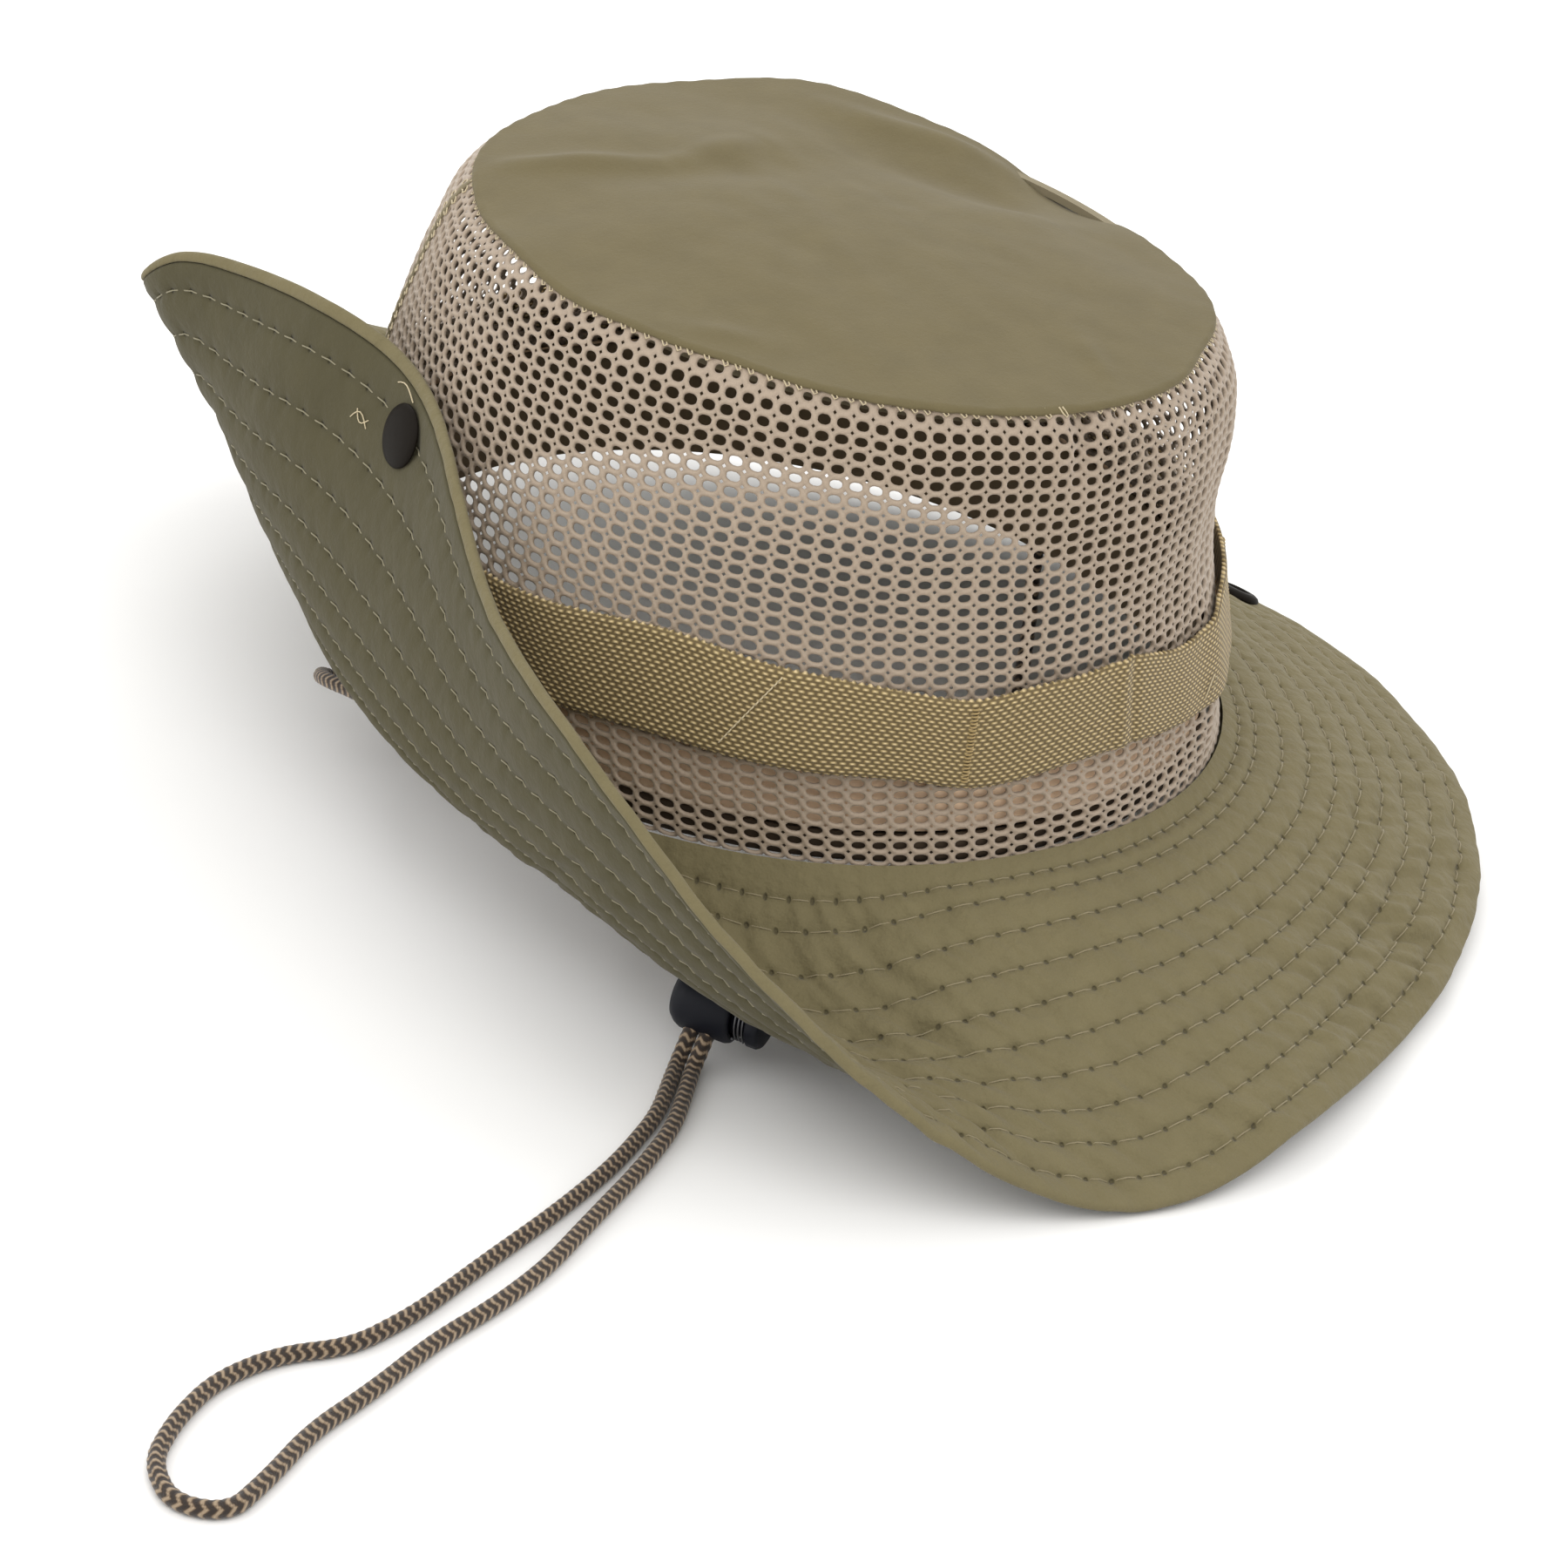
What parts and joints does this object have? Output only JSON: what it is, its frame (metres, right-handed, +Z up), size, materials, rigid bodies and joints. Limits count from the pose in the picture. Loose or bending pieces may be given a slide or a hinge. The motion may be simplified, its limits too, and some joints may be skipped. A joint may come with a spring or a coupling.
{
  "type": "boonie hat",
  "caption": "Soft wide-brimmed sun hat with a mesh crown wall, woven band loops, one brim side folded up and snapped to the crown, and a chin cord with a spring lock.",
  "frame": {"origin": "middle of the head opening, in the plane of the brim seam", "axes": "+Z up through the crown, -Y towards the front of the hat, -X the wearer's right, whose brim is folded up"},
  "size_m": [0.4036, 0.3345, 0.1365],
  "materials": {
    "ripstop": "olive cotton ripstop, matte",
    "interlining": "woven stiffening cloth, matte",
    "mesh": "open knitted mesh, matte",
    "webbing": "woven nylon webbing, slight sheen",
    "tape": "woven binding tape, matte",
    "sweatband": "cotton sweatband, matte",
    "thread": "sewing thread",
    "cord": "flat knitted round cord, matte",
    "lock_plastic": "moulded plastic, satin",
    "spring_wire": "spring steel wire",
    "snap_metal": "oxidised dark brass, satin"
  },
  "bodies": {
    "crown": {"crown_tip": "ripstop", "mesh_panel_front": "mesh", "mesh_panel_rear": "mesh", "tip_seam_tape": "tape", "right_seam_tape": "tape", "left_seam_tape": "tape", "sweatband": "sweatband", "hat_band": "webbing", "band_tacks": "thread", "brim_upper_front": "ripstop", "brim_core_front": "interlining", "brim_lower_front": "ripstop", "brim_upper_rear": "ripstop", "brim_core_rear": "interlining", "brim_lower_rear": "ripstop", "right_snap_stud": "snap_metal", "right_snap_post": "snap_metal", "left_snap_stud": "snap_metal", "left_snap_post": "snap_metal", "chin_cord": "cord"},
    "right_flap": {"right_flap_upper": "ripstop", "right_flap_core": "interlining", "right_flap_lower": "ripstop", "right_snap_cap": "snap_metal", "right_snap_socket": "snap_metal"},
    "left_flap": {"left_flap_upper": "ripstop", "left_flap_core": "interlining", "left_flap_lower": "ripstop", "left_snap_cap": "snap_metal", "left_snap_socket": "snap_metal"},
    "cord_lock": {"cord_lock_body": "lock_plastic", "cord_lock_spring": "spring_wire"},
    "lock_button": {"cord_lock_button": "lock_plastic"}
  },
  "joints": [
    {"name": "right_flap_fold", "type": "hinge", "parent": "crown", "child": "right_flap", "pos_m": [-0.0955, 0, -0.0065], "axis": [0, -1, 0], "range_deg": [0, 105]},
    {"name": "left_flap_fold", "type": "hinge", "parent": "crown", "child": "left_flap", "pos_m": [0.095, 0, -0.0015], "axis": [0, -1, 0], "range_deg": [0, 125]},
    {"name": "cord_lock_slide", "type": "slide", "parent": "crown", "child": "cord_lock", "axis": [-0.5998, -0.2999, -0.7418], "range_m": [0, 0.005]},
    {"name": "lock_button_press", "type": "slide", "parent": "cord_lock", "child": "lock_button", "axis": [-0.4472, 0.8944, 0], "range_m": [0, 0.0015], "stiffness_N_per_m": 1200, "springref_m": -0.0012, "deforming": ["cord_lock_spring"]}
  ]
}
